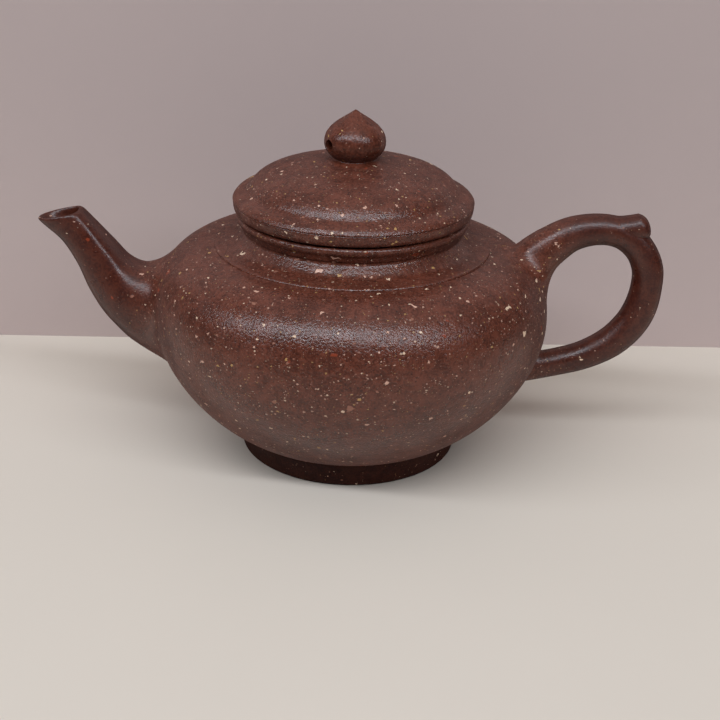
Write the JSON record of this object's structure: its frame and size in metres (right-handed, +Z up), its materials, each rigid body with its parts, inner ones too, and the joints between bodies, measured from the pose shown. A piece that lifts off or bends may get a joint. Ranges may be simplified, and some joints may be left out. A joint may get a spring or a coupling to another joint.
{
  "type": "yixing clay teapot",
  "caption": "Small squat teapot of speckled reddish-brown unglazed clay, with a curved spout, ear handle with thumb tail, and a domed lid with pointed knob that lifts off.",
  "frame": {"origin": "on the pot's axis at the foot's resting face, at the bottom centre of the bounding box", "axes": "+Z up along the axis that the pot was turned on, -X towards the spout, +X towards the handle"},
  "size_m": [0.1534, 0.097, 0.0859],
  "materials": {
    "speckled_clay": "unglazed burnished clay with cream and ochre grains, satin",
    "smooth_clay": "unglazed burnished clay with few grains, satin",
    "inner_clay": "unglazed clay, not burnished, matt"
  },
  "bodies": {
    "pot": {"belly_upper": "speckled_clay", "belly_lower": "speckled_clay", "shoulder_disc": "speckled_clay", "neck_ring": "speckled_clay", "mouth_ring": "speckled_clay", "base_disc": "inner_clay", "foot_ring": "smooth_clay", "spout": "smooth_clay", "strainer": "inner_clay", "handle": "smooth_clay"},
    "lid": {"lid_dome": "speckled_clay", "lid_rim_ring": "speckled_clay", "lid_flange": "inner_clay", "knob": "smooth_clay"}
  },
  "joints": [
    {"name": "lid_lift", "type": "slide", "parent": "pot", "child": "lid", "axis": [0, 0, 1], "range_m": [0, 0.04]}
  ]
}
